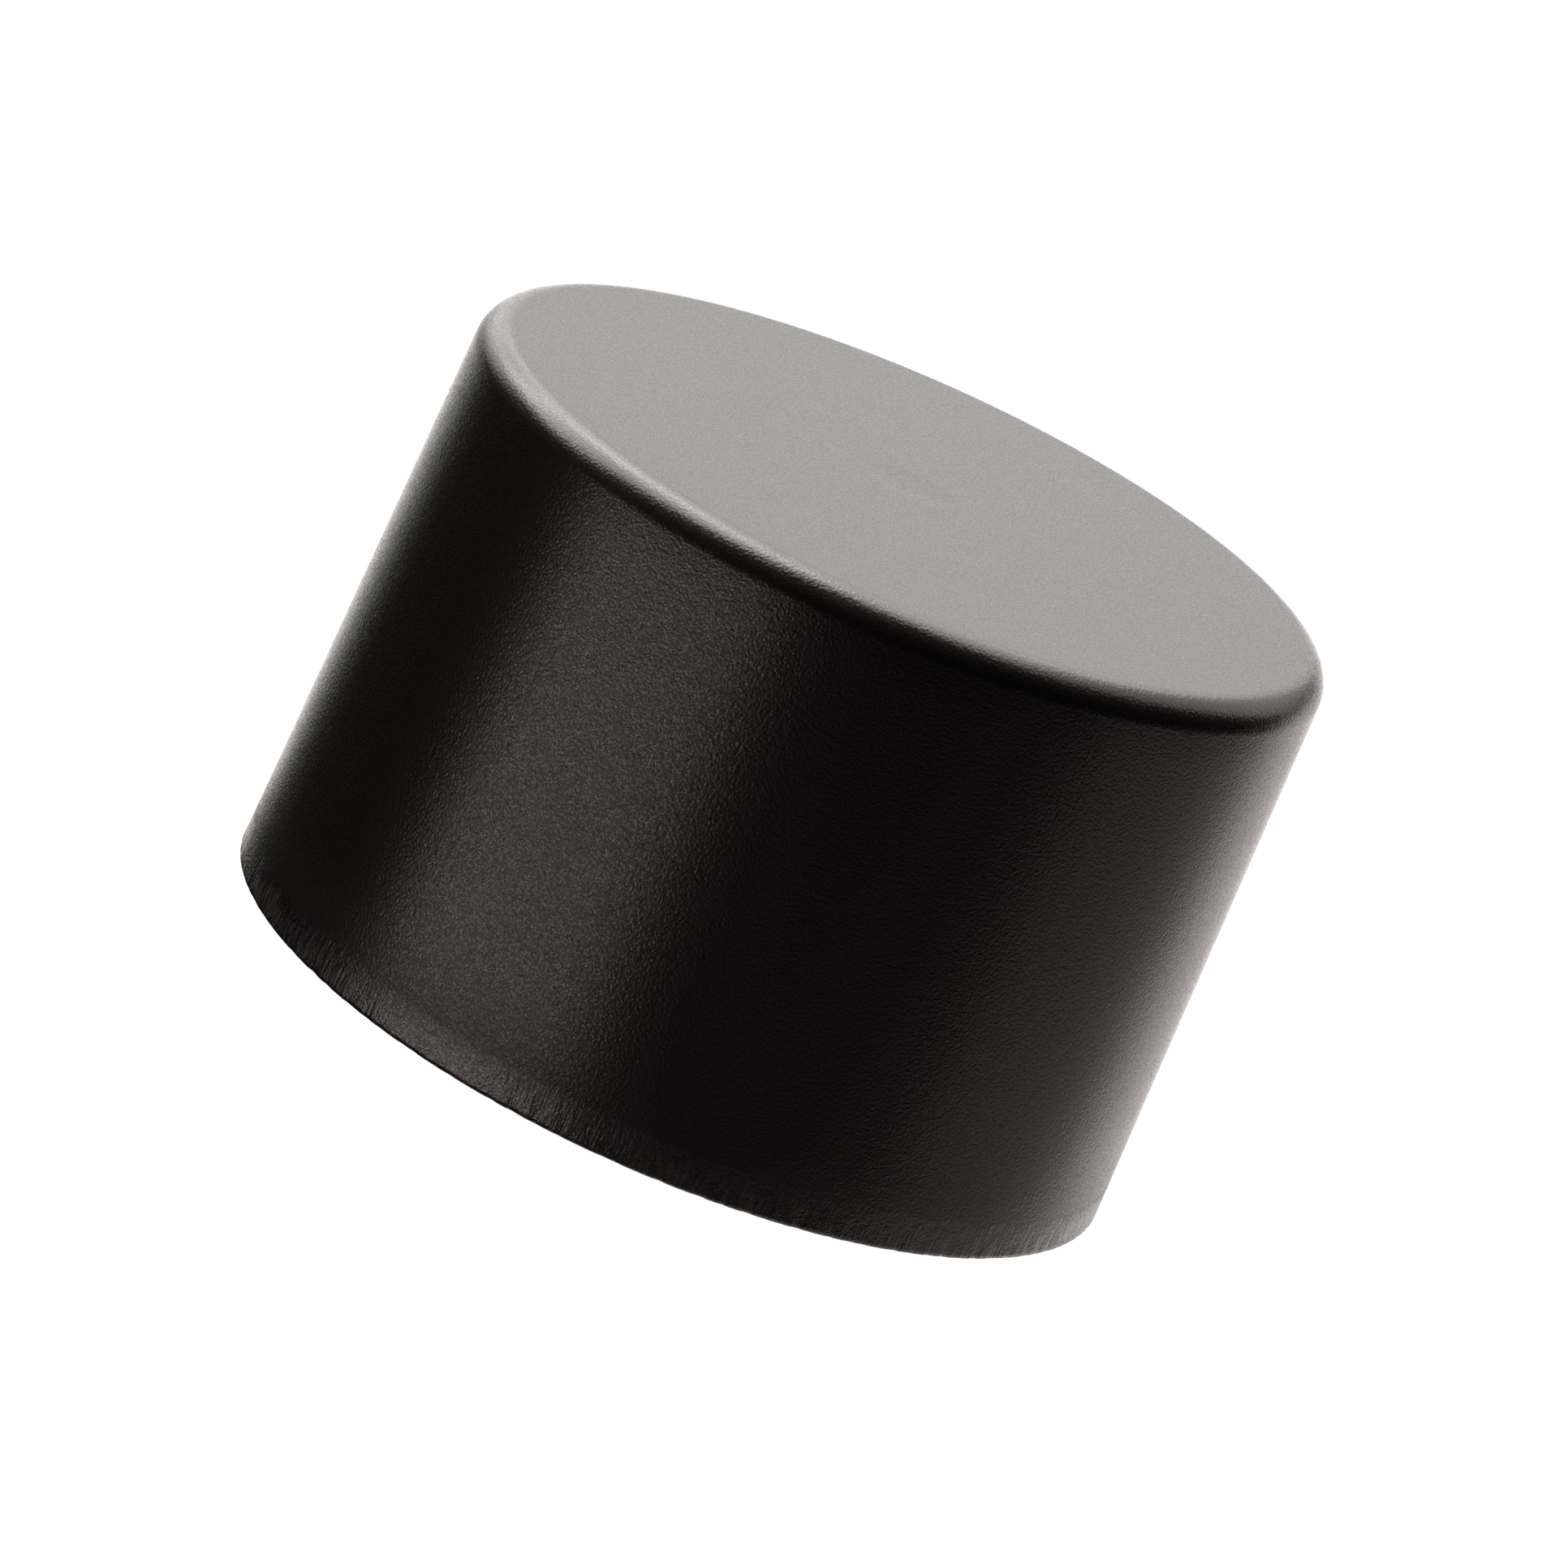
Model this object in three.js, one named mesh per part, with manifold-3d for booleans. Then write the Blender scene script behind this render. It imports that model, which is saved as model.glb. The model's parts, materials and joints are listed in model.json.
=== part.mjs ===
// A weighted dealer button: a moulded drum on a felt pad, with steel washers inside as ballast.
// Millimetres, +Z up. The origin is the middle of the felt pad's underside, which is what it stands on.

import * as THREE from 'three';
import { mergeVertices } from 'three/addons/utils/BufferGeometryUtils.js';
import Module from 'manifold-3d';

// ---------------------------------------------------------------- driving dimensions

const FOOT_DIAMETER = 50;
const HEIGHT = 32.5;
const DRAFT_DEGREES = 1.3;      // the mould's draft, which makes the wall narrow upwards
const RIM_RADIUS = 1.7;         // between the wall and the top face
const FIT_GAP = 0.02;           // left between faces that touch
const SLIDE_GAP = 0.25;         // left round pieces that drop into place

// shell
const WALL = 2.2;
const CEILING = 2.6;
const INNER_RADIUS = 1.0;       // between the wall and the ceiling, inside
const SINK_DEPTH = 0.06;        // the shallow dip that the thick boss leaves in the top face
const SINK_RADIUS = 2.6;
const BOSS_RADIUS = 4;
const FIN_COUNT = 4;            // on the boss, to centre the ballast
const FIN_THICKNESS = 1.2;
const RIB_COUNT = 8;            // on the wall, to keep the ballast from shifting
const RIB_THICKNESS = 1;
const RIB_CLEARANCE = 2;        // between the ribs and the base plate
const FOOT_LIP = 1.3;           // the wall left outside the base plate

// pad
const FELT_THICKNESS = 1.8;
const ADHESIVE_THICKNESS = 0.2; // it lies in the shallow recess that the plate leaves in the shell's foot

// base plate
const PLATE_THICKNESS = 2;
const HUB_WALL = 1.6;
const HUB_WEB = 1.5;            // the plastic that the screw clamps
const STAND_HEIGHT = 0.9;       // the raised ring under the lower foam
const STAND_WIDTH = 4;
const STAND_INSET = 1;          // how far the ring stands inside the foam's edge

// M3 x 8 pan-head screw, its washer and its insert
const SCREW_RADIUS = 1.5;
const SCREW_LENGTH = 8;
const SCREW_CLEARANCE_RADIUS = 1.7;
const HEAD_RADIUS = 2.8;
const HEAD_HEIGHT = 2.4;
const HEAD_RECESS = 0.5;        // how far the head stands back from the plate's underside
const HEAD_FLAT_RADIUS = 1.7;   // of the flat in the middle of the dome
const HEAD_SHOULDER_RADIUS = 2.4;
const HEAD_SHOULDER = 0.25;     // how far the shoulder is up the dome
const HEAD_DOME = 0.7;          // how much of the head's height is domed
const TIP_CHAMFER = 0.4;
const DRIVE_WIDTH = 0.9;        // one arm of the cross recess
const DRIVE_LENGTH = 3;
const DRIVE_DEPTH = 1.4;
const WASHER_RADIUS = 3.5;
const WASHER_BORE_RADIUS = 1.6;
const WASHER_THICKNESS = 0.5;
const INSERT_RADIUS = 2.3;
const INSERT_LENGTH = 5.7;
const INSERT_EDGE = 0.2;        // its chamfer
const INSERT_DEPTH = 0.3;       // how far the insert sits below the boss's end
const CORE_CAP = 1.2;           // what the boss's cored hole leaves below the ceiling

// ballast: wide steel washers for M12
const BALLAST_COUNT = 6;
const BALLAST_RADIUS = 18.5;
const BALLAST_BORE_RADIUS = 6.5;
const BALLAST_THICKNESS = 3;
const BALLAST_EDGE = 0.3;       // the stamped edge's rounding, as a chamfer
const FOAM_RADIUS = 18;
const FOAM_BORE_RADIUS = 6.8;

// how finely the round pieces are divided
const OUTER_SEGMENTS = 72;
const RING_SEGMENTS = 48;
const FASTENER_SEGMENTS = 32;
const ARC_STEPS = 5;
const INNER_ARC_STEPS = 3;

// ---------------------------------------------------------------- levels worked out from them

const DRAFT = Math.tan(THREE.MathUtils.degToRad(DRAFT_DEGREES));
const FOOT_RADIUS = FOOT_DIAMETER / 2;
const SHELL_FOOT = FELT_THICKNESS + FIT_GAP;
const PLATE_FOOT = FELT_THICKNESS + ADHESIVE_THICKNESS;
const PLATE_TOP = PLATE_FOOT + PLATE_THICKNESS;
const CEILING_LEVEL = HEIGHT - CEILING;
const STAND_TOP = PLATE_TOP + STAND_HEIGHT;

const BALLAST_STACK = BALLAST_COUNT * BALLAST_THICKNESS;
const FOAM_THICKNESS = (CEILING_LEVEL - STAND_TOP - BALLAST_STACK) / 2;
const BALLAST_FOOT = STAND_TOP + FOAM_THICKNESS;
const BALLAST_TOP = BALLAST_FOOT + BALLAST_STACK;

const COUNTERBORE_RADIUS = WASHER_RADIUS + SLIDE_GAP;
const HEAD_FOOT = PLATE_FOOT + HEAD_RECESS;
const HEAD_TOP = HEAD_FOOT + HEAD_HEIGHT;
const WEB_FOOT = HEAD_TOP + WASHER_THICKNESS;
const HUB_TOP = WEB_FOOT + HUB_WEB;
const HUB_RADIUS = COUNTERBORE_RADIUS + HUB_WALL;
const BOSS_FOOT = HUB_TOP + FIT_GAP;
const INSERT_FOOT = BOSS_FOOT + INSERT_DEPTH;
const INSERT_TOP = INSERT_FOOT + INSERT_LENGTH;

const FIN_REACH = BALLAST_BORE_RADIUS - SLIDE_GAP;
const RIB_REACH = BALLAST_RADIUS + SLIDE_GAP;
const FIN_FOOT = HUB_TOP + SLIDE_GAP;
const RIB_FOOT = PLATE_TOP + RIB_CLEARANCE;

function outerRadius(z) {
  return FOOT_RADIUS - z * DRAFT;
}

function innerRadius(z) {
  return outerRadius(z) - WALL;
}

const SEAT_RADIUS = outerRadius(PLATE_FOOT) - FOOT_LIP;
const PLATE_RADIUS = SEAT_RADIUS - SLIDE_GAP;

// ---------------------------------------------------------------- geometry helpers

// Points of an arc about (x, z) in the profile's plane, from one angle to another, in degrees.
function arc(x, z, radius, fromDegrees, toDegrees, steps = ARC_STEPS) {
  const points = [];
  for (let i = 0; i <= steps; i++) {
    const angle = THREE.MathUtils.degToRad(fromDegrees + ((toDegrees - fromDegrees) * i) / steps);
    points.push([x + radius * Math.cos(angle), z + radius * Math.sin(angle)]);
  }
  return points;
}

// Turns a profile of [radius, z] points, listed anticlockwise, about the Z axis.
// A ring's profile is closed by repeating its first point.
function turned(profile, segments) {
  const geometry = new THREE.LatheGeometry(profile.map(([x, z]) => new THREE.Vector2(x, z)), segments);
  geometry.rotateX(Math.PI / 2);
  return geometry;
}

function ringProfile(inner, outer, foot, top, edge = 0) {
  if (edge === 0) {
    return [[inner, foot], [outer, foot], [outer, top], [inner, top], [inner, foot]];
  }
  return [
    [inner + edge, foot], [outer - edge, foot], [outer, foot + edge], [outer, top - edge],
    [outer - edge, top], [inner + edge, top], [inner, top - edge], [inner, foot + edge],
    [inner + edge, foot],
  ];
}

// A slab that stands on edge and reaches out from the axis, such as a rib, turned to its place.
function radialSlab(fromRadius, toRadius, thickness, foot, top, degrees) {
  const geometry = new THREE.BoxGeometry(toRadius - fromRadius, thickness, top - foot);
  geometry.translate((fromRadius + toRadius) / 2, 0, (foot + top) / 2);
  geometry.rotateZ(THREE.MathUtils.degToRad(degrees));
  return geometry;
}

const MERGE_DISTANCE = 1e-5;
const CUT_PAST = 1;             // how far a cutting shape runs past the face that it opens

const wasm = await Module();
wasm.setup();

function toSolid(geometry) {
  const bare = geometry.clone();
  bare.deleteAttribute('normal');
  bare.deleteAttribute('uv');
  const merged = mergeVertices(bare, MERGE_DISTANCE);
  const triVerts = [];
  const index = merged.index.array;
  for (let i = 0; i < index.length; i += 3) {
    const [a, b, c] = index.subarray(i, i + 3);
    if (a !== b && b !== c && c !== a) {
      triVerts.push(a, b, c);
    }
  }
  const vertProperties = Float32Array.from(merged.attributes.position.array);
  return new wasm.Manifold(new wasm.Mesh({
    numProp: 3,
    vertProperties,
    triVerts: Uint32Array.from(triVerts),
  }));
}

function toGeometry(solid) {
  const { vertProperties, triVerts } = solid.getMesh();
  const geometry = new THREE.BufferGeometry();
  geometry.setAttribute('position', new THREE.BufferAttribute(Float32Array.from(vertProperties), 3));
  geometry.setIndex(new THREE.BufferAttribute(Uint32Array.from(triVerts), 1));
  geometry.computeVertexNormals();
  return geometry;
}

// ---------------------------------------------------------------- materials

function plastic(color) {
  return new THREE.MeshStandardMaterial({ color, roughness: 0.55, metalness: 0 });
}

const blackPlastic = () => plastic('#1a1a1b');
const greyPlastic = () => plastic('#2c2c2e');
const blackFelt = () => new THREE.MeshStandardMaterial({ color: '#202022', roughness: 1, metalness: 0 });
const greyFoam = () => new THREE.MeshStandardMaterial({ color: '#3a3a3d', roughness: 1, metalness: 0 });
const adhesive = () => new THREE.MeshStandardMaterial({ color: '#d8d0b8', roughness: 0.4, metalness: 0 });
const steel = () => new THREE.MeshStandardMaterial({ color: '#a9abad', roughness: 0.35, metalness: 1 });
const brass = () => new THREE.MeshStandardMaterial({ color: '#c9a24a', roughness: 0.3, metalness: 1 });

// ---------------------------------------------------------------- pieces

// The drum: one moulding of top face, wall, central boss, fins and ribs, open below.
function shell() {
  const rimX = outerRadius(HEIGHT - RIM_RADIUS) - RIM_RADIUS;
  const innerX = innerRadius(CEILING_LEVEL) - INNER_RADIUS;
  let solid = toSolid(turned([
    [SEAT_RADIUS, SHELL_FOOT],
    [outerRadius(SHELL_FOOT), SHELL_FOOT],
    ...arc(rimX, HEIGHT - RIM_RADIUS, RIM_RADIUS, 0, 90),
    [SINK_RADIUS, HEIGHT],
    [0, HEIGHT - SINK_DEPTH],
    [0, CEILING_LEVEL],
    ...arc(innerX, CEILING_LEVEL - INNER_RADIUS, INNER_RADIUS, 90, 0, INNER_ARC_STEPS),
    [innerRadius(PLATE_TOP), PLATE_TOP],
    [SEAT_RADIUS, PLATE_TOP],
    [SEAT_RADIUS, SHELL_FOOT],
  ], OUTER_SEGMENTS));

  const rooted = CEILING_LEVEL + CEILING / 2;
  const boss = turned(
    [[0, BOSS_FOOT], [BOSS_RADIUS, BOSS_FOOT], [BOSS_RADIUS, rooted], [0, rooted]],
    RING_SEGMENTS,
  );
  solid = solid.add(toSolid(boss));
  for (let i = 0; i < FIN_COUNT; i++) {
    const degrees = (360 / FIN_COUNT) * (i + 0.5);
    solid = solid.add(toSolid(radialSlab(0, FIN_REACH, FIN_THICKNESS, FIN_FOOT, rooted, degrees)));
  }
  for (let i = 0; i < RIB_COUNT; i++) {
    const degrees = (360 / RIB_COUNT) * i;
    const rootRadius = innerRadius(rooted) + WALL / 2;
    solid = solid.add(
      toSolid(radialSlab(RIB_REACH, rootRadius, RIB_THICKNESS, RIB_FOOT, rooted, degrees)),
    );
  }

  const seatRadius = INSERT_RADIUS + FIT_GAP * 2;
  const seatTop = INSERT_TOP + FIT_GAP;
  const hole = turned([
    [0, BOSS_FOOT - CUT_PAST],
    [seatRadius, BOSS_FOOT - CUT_PAST],
    [seatRadius, seatTop],
    [SCREW_CLEARANCE_RADIUS, seatTop],
    [SCREW_CLEARANCE_RADIUS, CEILING_LEVEL - CORE_CAP],
    [0, CEILING_LEVEL - CORE_CAP],
  ], FASTENER_SEGMENTS);
  return toGeometry(solid.subtract(toSolid(hole)));
}

// The disc that closes the shell, with a hub that hides the screw's head.
function basePlate() {
  const standOuter = FOAM_RADIUS - STAND_INSET;
  const standInner = standOuter - STAND_WIDTH;
  return turned([
    [COUNTERBORE_RADIUS, PLATE_FOOT],
    [PLATE_RADIUS, PLATE_FOOT],
    [PLATE_RADIUS, PLATE_TOP - FIT_GAP],
    [standOuter, PLATE_TOP - FIT_GAP],
    [standOuter, STAND_TOP - FIT_GAP],
    [standInner, STAND_TOP - FIT_GAP],
    [standInner, PLATE_TOP - FIT_GAP],
    [HUB_RADIUS, PLATE_TOP - FIT_GAP],
    [HUB_RADIUS, HUB_TOP],
    [SCREW_CLEARANCE_RADIUS, HUB_TOP],
    [SCREW_CLEARANCE_RADIUS, WEB_FOOT],
    [COUNTERBORE_RADIUS, WEB_FOOT],
    [COUNTERBORE_RADIUS, PLATE_FOOT],
  ], OUTER_SEGMENTS);
}

function disc(radius, foot, top) {
  return turned([[0, foot], [radius, foot], [radius, top], [0, top]], OUTER_SEGMENTS);
}

function feltPad() {
  return disc(FOOT_RADIUS, 0, FELT_THICKNESS);
}

function padAdhesive() {
  return disc(PLATE_RADIUS, FELT_THICKNESS + FIT_GAP, PLATE_FOOT - FIT_GAP);
}

// The head is at the bottom, because the screw goes in from below. The thread is left plain.
function baseScrew() {
  const body = toSolid(turned([
    [0, HEAD_FOOT],
    [HEAD_FLAT_RADIUS, HEAD_FOOT],
    [HEAD_SHOULDER_RADIUS, HEAD_FOOT + HEAD_SHOULDER],
    [HEAD_RADIUS, HEAD_FOOT + HEAD_DOME],
    [HEAD_RADIUS, HEAD_TOP - FIT_GAP],
    [SCREW_RADIUS, HEAD_TOP - FIT_GAP],
    [SCREW_RADIUS, HEAD_TOP + SCREW_LENGTH - TIP_CHAMFER],
    [SCREW_RADIUS - TIP_CHAMFER, HEAD_TOP + SCREW_LENGTH],
    [0, HEAD_TOP + SCREW_LENGTH],
  ], FASTENER_SEGMENTS));
  const arm = new THREE.BoxGeometry(DRIVE_LENGTH, DRIVE_WIDTH, DRIVE_DEPTH * 2);
  arm.translate(0, 0, HEAD_FOOT);
  const otherArm = arm.clone().rotateZ(Math.PI / 2);
  return toGeometry(body.subtract(toSolid(arm)).subtract(toSolid(otherArm)));
}

function screwWasher() {
  return turned(
    ringProfile(WASHER_BORE_RADIUS, WASHER_RADIUS, HEAD_TOP, WEB_FOOT - FIT_GAP),
    FASTENER_SEGMENTS,
  );
}

function brassInsert() {
  return turned(
    ringProfile(SCREW_RADIUS + FIT_GAP * 2, INSERT_RADIUS, INSERT_FOOT, INSERT_TOP, INSERT_EDGE),
    FASTENER_SEGMENTS,
  );
}

function ballastRing() {
  return turned(
    ringProfile(BALLAST_BORE_RADIUS, BALLAST_RADIUS, 0, BALLAST_THICKNESS - FIT_GAP, BALLAST_EDGE),
    RING_SEGMENTS,
  );
}

function foamRing(foot, top) {
  return turned(ringProfile(FOAM_BORE_RADIUS, FOAM_RADIUS, foot, top - FIT_GAP), RING_SEGMENTS);
}

// ---------------------------------------------------------------- the assembly

function piece(name, geometry, material) {
  const mesh = new THREE.Mesh(geometry, material);
  mesh.name = name;
  return mesh;
}

const button = new THREE.Group();
button.name = 'dealer_button';

const pad = new THREE.Group();
pad.add(piece('felt_pad', feltPad(), blackFelt()));
pad.add(piece('pad_adhesive', padAdhesive(), adhesive()));

const base = new THREE.Group();
base.add(piece('base_plate', basePlate(), greyPlastic()));
base.add(piece('screw_washer', screwWasher(), steel()));
base.add(piece('base_screw', baseScrew(), steel()));

const ballast = new THREE.Group();
ballast.add(piece('lower_foam_ring', foamRing(STAND_TOP, BALLAST_FOOT), greyFoam()));
for (let i = 0; i < BALLAST_COUNT; i++) {
  const ring = piece(`ballast_ring_${i + 1}`, ballastRing(), steel());
  ring.position.z = BALLAST_FOOT + i * BALLAST_THICKNESS;
  ballast.add(ring);
}
ballast.add(piece('upper_foam_ring', foamRing(BALLAST_TOP, CEILING_LEVEL), greyFoam()));

const body = new THREE.Group();
body.add(piece('shell', shell(), blackPlastic()));
body.add(piece('brass_insert', brassInsert(), brass()));

button.add(pad, base, ballast, body);

export default button;
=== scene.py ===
"""A weighted dealer button: a matte black moulded drum on a felt pad, with its ballast and fixings inside.

Everything is in metres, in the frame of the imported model: the origin is the middle of the felt pad's
underside and +Z runs up the button's axis. Places and main sizes come from the frame's boxes. What a box
can't say, such as a fillet or a thread's pitch, is a named value here, in millimetres times MM.
"""

import json
import math

import bmesh
import bpy
from mathutils import Matrix, Quaternion, Vector, noise


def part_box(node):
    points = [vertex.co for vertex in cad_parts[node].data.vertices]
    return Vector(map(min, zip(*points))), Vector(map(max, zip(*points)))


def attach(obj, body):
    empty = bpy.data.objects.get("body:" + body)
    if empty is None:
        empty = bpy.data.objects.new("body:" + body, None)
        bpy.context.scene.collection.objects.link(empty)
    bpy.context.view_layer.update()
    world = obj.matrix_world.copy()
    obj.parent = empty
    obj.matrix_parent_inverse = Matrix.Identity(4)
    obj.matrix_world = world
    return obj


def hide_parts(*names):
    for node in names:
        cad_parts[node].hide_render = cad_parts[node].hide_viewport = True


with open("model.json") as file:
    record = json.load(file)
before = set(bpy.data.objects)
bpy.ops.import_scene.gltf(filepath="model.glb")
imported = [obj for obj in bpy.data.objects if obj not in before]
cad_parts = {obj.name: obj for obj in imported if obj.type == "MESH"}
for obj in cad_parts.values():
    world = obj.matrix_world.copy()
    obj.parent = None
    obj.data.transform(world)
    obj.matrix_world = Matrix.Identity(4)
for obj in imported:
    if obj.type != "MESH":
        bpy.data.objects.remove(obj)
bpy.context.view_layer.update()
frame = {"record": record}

MM = 0.001
TURN = 2 * math.pi
NEAR = 1e-6                      # radii this close, in metres, count as the same

# ------------------------------------------------------------------ sizes that come from the frame

FOOT_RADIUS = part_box("felt_pad")[1].x
FELT_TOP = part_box("felt_pad")[1].z
SHELL_FOOT_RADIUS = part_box("shell")[1].x
SHELL_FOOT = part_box("shell")[0].z
SHELL_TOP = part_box("shell")[1].z
PLATE_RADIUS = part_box("base_plate")[1].x
PLATE_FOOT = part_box("base_plate")[0].z
HUB_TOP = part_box("base_plate")[1].z
INSERT_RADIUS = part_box("brass_insert")[1].x
INSERT_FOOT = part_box("brass_insert")[0].z
INSERT_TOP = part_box("brass_insert")[1].z
BALLAST_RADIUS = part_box("ballast_ring_1")[1].x
FOAM_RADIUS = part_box("upper_foam_ring")[1].x
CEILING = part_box("upper_foam_ring")[1].z
STAND_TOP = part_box("lower_foam_ring")[0].z
HEAD_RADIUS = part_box("base_screw")[1].x
HEAD_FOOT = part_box("base_screw")[0].z
SCREW_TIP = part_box("base_screw")[1].z
WASHER_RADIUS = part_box("screw_washer")[1].x
WASHER_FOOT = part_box("screw_washer")[0].z
WASHER_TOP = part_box("screw_washer")[1].z

# ------------------------------------------------------------------ sizes that the boxes don't give

DRAFT_DEGREES = 1.3
DRAFT = math.tan(math.radians(DRAFT_DEGREES))
FIT_GAP = 0.02 * MM              # left between faces that touch
SLIDE_GAP = 0.25 * MM            # left round pieces that drop into place

RIM_RADIUS = 1.7 * MM
WALL = 2.2 * MM
INNER_RADIUS = 1 * MM
SINK_DEPTH = 0.06 * MM           # the dip that the thick boss leaves in the top face
SINK_RADIUS = 2.6 * MM
BOSS_RADIUS = 4 * MM
FIN_COUNT = 4
FIN_THICKNESS = 1.2 * MM
RIB_COUNT = 8
RIB_THICKNESS = 1 * MM
RIB_CLEARANCE = 2 * MM
CORE_RADIUS = 1.7 * MM
CORE_CAP = 1.2 * MM

PLATE_THICKNESS = 2 * MM
PLATE_TOP = PLATE_FOOT + PLATE_THICKNESS
PLATE_FILLET = 0.25 * MM
STAND_INSET = 1 * MM             # how far the ring under the foam stands inside the foam's edge
STAND_WIDTH = 4 * MM
STAND_OUTER = FOAM_RADIUS - STAND_INSET
STAND_INNER = STAND_OUTER - STAND_WIDTH
HUB_WALL = 1.6 * MM
COUNTERBORE_RADIUS = WASHER_RADIUS + SLIDE_GAP
HUB_RADIUS = COUNTERBORE_RADIUS + HUB_WALL

SCREW_RADIUS = 1.5 * MM
SCREW_CLEARANCE_RADIUS = 1.7 * MM
THREAD_PITCH = 0.5 * MM
THREAD_DEPTH = 0.27 * MM
THREAD_FLANK = 1.6               # how steeply the flanks rise, in thread depths per half pitch
THREAD_APEX = 1.35               # how high they would meet if the crest weren't flat, in thread depths
HEAD_DOME = 0.7 * MM             # how much of the head's height is domed
HEAD_FLAT = 0.62                 # the flat in the middle of the dome, as a share of the head's radius
HEAD_SHOULDER = 0.9              # the dome's shoulder, as a share of the same
TIP_CHAMFER = 0.4 * MM
DRIVE_LENGTH = 3 * MM
DRIVE_WIDTH = 0.9 * MM
DRIVE_DEPTH = 1.4 * MM
WASHER_BORE = 1.6 * MM
KNURL_COUNT = 26
KNURL_DEPTH = 0.16 * MM
KNURL_GROOVE = 0.9 * MM          # the plain waist between the insert's two knurled bands
INSERT_EDGE = 0.2 * MM

BALLAST_BORE = 6.5 * MM
FOAM_BORE = 6.8 * MM
FOAM_EDGE = 0.6 * MM
FOAM_CELL = 0.45 * MM
FOAM_CRUMB = 0.18 * MM           # how deeply the foam's torn surface is pitted
ROLLED_EDGE = 0.5 * MM           # a ballast washer's edge on the side that the punch entered
CRISP_EDGE = 0.1 * MM            # its edge on the other side
BREAK_DEPTH = 0.06 * MM          # how rough its wall is where the steel broke

NAP_HEIGHT = 0.75 * MM           # how far the felt's longest edge fibres lap up over the shell's foot
NAP_THICKNESS = 0.012 * MM       # how far the fibres stand off the wall at the foot
NAP_TIP = 0.002 * MM             # and at their tips
NAP_STEPS = 10                   # rings up the pad's edge
SHORTEST_FIBRE = 0.07            # fibres' lengths are shares of the nap's height
USUAL_FIBRE = 0.45
FIBRE_SPREAD = 0.35              # how much single fibres vary in length
TUFT_SPREAD = 0.2                # and whole tufts
FIBRE_WIDTH = 0.1 * MM
FIBRE_LENGTH = 1.6 * MM
TUFT_WIDTH = 0.8 * MM
RAGGED_DEPTH = 0.05 * MM         # how unevenly the die cut the pad's lower edge
EDGE_BEVEL = 0.1 * MM            # how far the pad's lower edge is rounded off
FLAT_MARGIN = 0.5 * MM           # where the pad's flat faces end, inside its edge
DULL_AND_SHADED_FROM = FELT_TOP * 0.6       # the fibres get duller, and darker with painted shade, from this height
DULL_AND_SHADED_FULL = FELT_TOP + NAP_HEIGHT * 0.4

GRAIN = 0.08 * MM                # half the spacing of the moulded grain's peaks
GRAIN_DEPTH = 0.024 * MM
SPECKLE = 0.06 * MM              # half the spacing of its paler, glossier points
POINT_ROUGHNESS = 0.18
BETWEEN_ROUGHNESS = 0.38
SCUFF = 0.07                     # how much rougher the wall is at the foot than above
SCUFF_HEIGHT = 4 * MM

# ------------------------------------------------------------------ how finely pieces are divided

BODY_SEGMENTS = 288              # the shell and the ballast washers
FELT_SEGMENTS = 4400             # enough to draw every fibre on the pad's edge
SHEET_SEGMENTS = 360             # the tape and the foam rings
PLATE_SEGMENTS = 240
WASHER_SEGMENTS = 128            # the screw's washer and its cross recess
FASTENER_SEGMENTS = 96           # the screw, and the boss and hole that it goes into
SURROUND_SEGMENTS = 64
THREAD_STEPS = 8                 # rings to each turn of a thread
KNURL_STEPS = 8                  # segments to each tooth of the knurl


def outer_radius(z):
    """The wall's outside radius at height z, which the mould's draft narrows upwards."""
    return SHELL_FOOT_RADIUS - (z - SHELL_FOOT) * DRAFT


# ------------------------------------------------------------------ mesh helpers


def filleted(corners, closed=False, steps=5):
    """Turns (radius, z) or (radius, z, fillet) corners into outline points, with an arc at each fillet."""
    points = []
    count = len(corners)
    for i, corner in enumerate(corners):
        here = Vector(corner[:2])
        fillet = corner[2] if len(corner) > 2 else 0
        at_end = not closed and i in (0, count - 1)
        if fillet == 0 or at_end:
            points.append(here)
            continue
        before = (Vector(corners[i - 1][:2]) - here).normalized()
        after = (Vector(corners[(i + 1) % count][:2]) - here).normalized()
        half_angle = before.angle(after) / 2
        reach = fillet / math.tan(half_angle)
        centre = here + (before + after).normalized() * (fillet / math.sin(half_angle))
        first = here + before * reach - centre
        sweep = first.angle_signed(here + after * reach - centre)
        for k in range(steps + 1):
            points.append(centre + Matrix.Rotation(-sweep * k / steps, 2) @ first)
    return points


def spaced(points, longest, closed=False):
    """Adds points on an outline's long straight stretches, so that no step is longer than this."""
    result = []
    for a, b in zip(points, points[1:] + points[:1]):
        parts = max(1, math.ceil((b - a).length / longest))
        result += [a.lerp(b, k / parts) for k in range(parts)]
    if closed:
        return result
    last = next(i for i, point in enumerate(result) if point == points[-1])
    return result[:last + 1]


def lathe(name, outline, segments, closed=False, shape=None, sharp=35):
    """Turns an outline of (radius, z) points about Z. A closed outline is the section of a ring.
    shape(radius, z, angle) may move each point."""
    mesh = bpy.data.meshes.new(name)
    bm = bmesh.new()
    rings = []
    for radius, z in outline:
        if radius < NEAR:
            rings.append([bm.verts.new((0, 0, z))])
            continue
        ring = []
        for s in range(segments):
            angle = TURN * s / segments
            r, h = shape(radius, z, angle) if shape else (radius, z)
            ring.append(bm.verts.new((r * math.cos(angle), r * math.sin(angle), h)))
        rings.append(ring)
    for low, high in zip(rings, rings[1:] + rings[:1] if closed else rings[1:]):
        bridge(bm, low, high, segments)
    bmesh.ops.recalc_face_normals(bm, faces=bm.faces)
    bm.to_mesh(mesh)
    bm.free()
    return added(name, mesh, sharp)


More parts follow.
